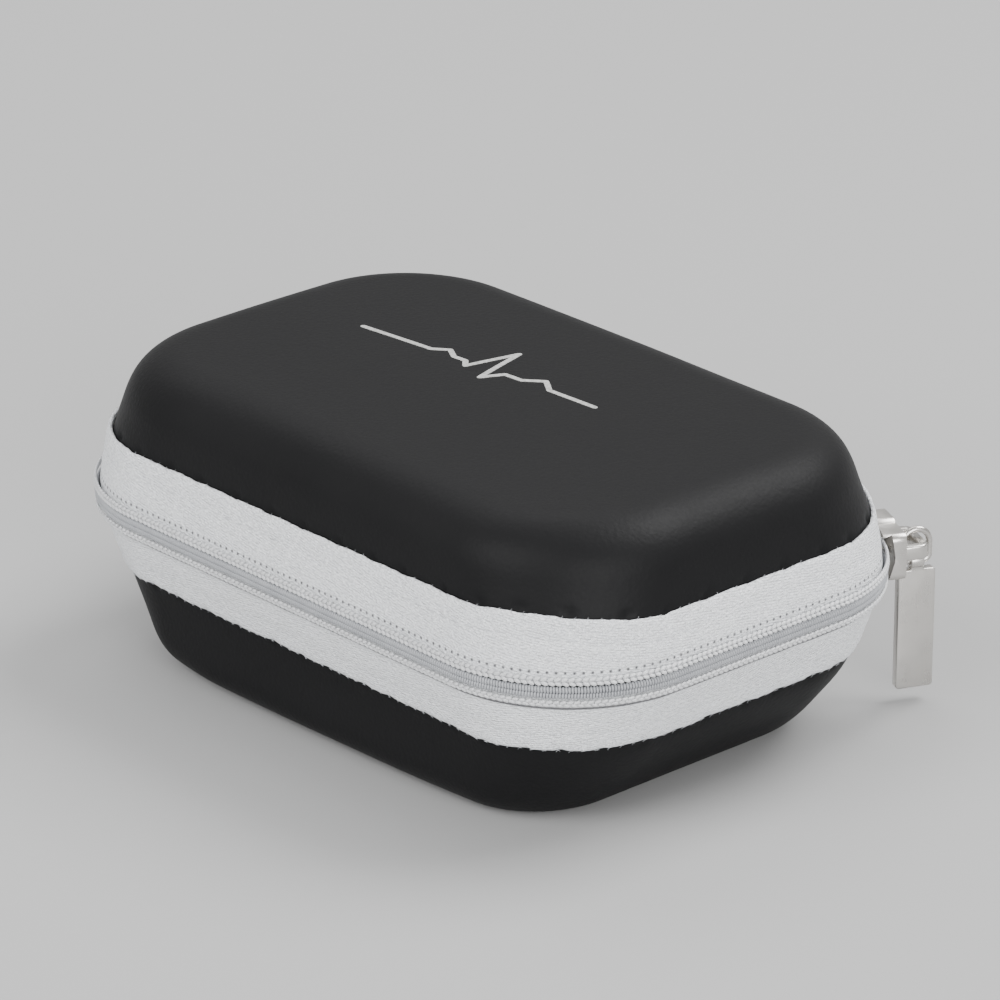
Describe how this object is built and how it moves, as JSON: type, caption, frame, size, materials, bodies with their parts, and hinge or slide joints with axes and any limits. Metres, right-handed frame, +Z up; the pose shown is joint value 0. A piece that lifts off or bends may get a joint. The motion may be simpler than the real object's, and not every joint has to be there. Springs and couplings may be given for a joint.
{
  "type": "hard-shell zip case for a fingertip pulse oximeter",
  "caption": "Small rounded hard-shell carrying case with a light woven zip band, a fabric spine hinge, a metal slider with a hanging tab and a mesh pocket in the lid.",
  "frame": {"origin": "centre of the case's flat bottom, midway between its two ends and its front and back", "axes": "+X along the long side towards the end with the parked slider, +Y from the zip front towards the spine hinge, +Z up"},
  "size_m": [0.11, 0.0792, 0.0446],
  "materials": {
    "shell_skin": "matte black soft-touch skin over moulded foam",
    "foam_core": "moulded closed-cell foam",
    "lining": "brushed knit lining",
    "binding": "woven edge binding",
    "zip_tape": "pale woven polyester zip tape",
    "sewing_thread": "twisted polyester sewing thread",
    "zip_coil": "pale nylon monofilament coil",
    "spine_webbing": "ribbed black webbing",
    "pocket_mesh": "knitted net",
    "pocket_elastic": "gathered elastic edging",
    "lid_print": "light grey screen print",
    "slider_metal": "satin nickel plate",
    "loop_wire": "bright nickel plated wire",
    "tab_metal": "satin nickel plate"
  },
  "bodies": {
    "base": {"base_skin": "shell_skin", "base_core": "foam_core", "base_lining": "lining", "base_binding": "binding", "base_tape": "zip_tape", "base_seam": "sewing_thread", "base_coil": "zip_coil", "base_coil_thread": "sewing_thread", "spine_base_half": "spine_webbing", "bar_tack_left": "sewing_thread", "bar_tack_right": "sewing_thread"},
    "lid": {"lid_skin": "shell_skin", "lid_core": "foam_core", "lid_lining": "lining", "lid_binding": "binding", "lid_tape": "zip_tape", "lid_seam": "sewing_thread", "lid_coil": "zip_coil", "lid_coil_thread": "sewing_thread", "spine_lid_half": "spine_webbing", "mesh_pocket": "pocket_mesh", "pocket_elastic": "pocket_elastic", "lid_print": "lid_print"},
    "slider": {"slider_body": "slider_metal", "slider_crown": "slider_metal"},
    "loop": {"puller_loop": "loop_wire"},
    "tab": {"pull_tab": "tab_metal"}
  },
  "joints": [
    {"name": "lid_hinge", "type": "hinge", "parent": "base", "child": "lid", "pos_m": [0, 0.0379, 0.0235], "axis": [-1, 0, 0], "range_deg": [0, 165], "deforming": ["lid_tape", "lid_coil", "lid_coil_thread"]},
    {"name": "slider_run", "type": "hinge", "parent": "base", "child": "slider", "pos_m": [0.033, 0.015, 0.0235], "axis": [0, 0, 1], "range_deg": [-52, 0], "deforming": ["base_coil"]},
    {"name": "loop_swing", "type": "hinge", "parent": "slider", "child": "loop", "pos_m": [0.04388, 0.03943, 0.0235], "axis": [0.9135, -0.4067, 0], "range_deg": [0, 170]},
    {"name": "tab_swing", "type": "hinge", "parent": "loop", "child": "tab", "pos_m": [0.04388, 0.03943, 0.0208], "axis": [0.4067, 0.9135, 0], "range_deg": [-20, 38]}
  ]
}
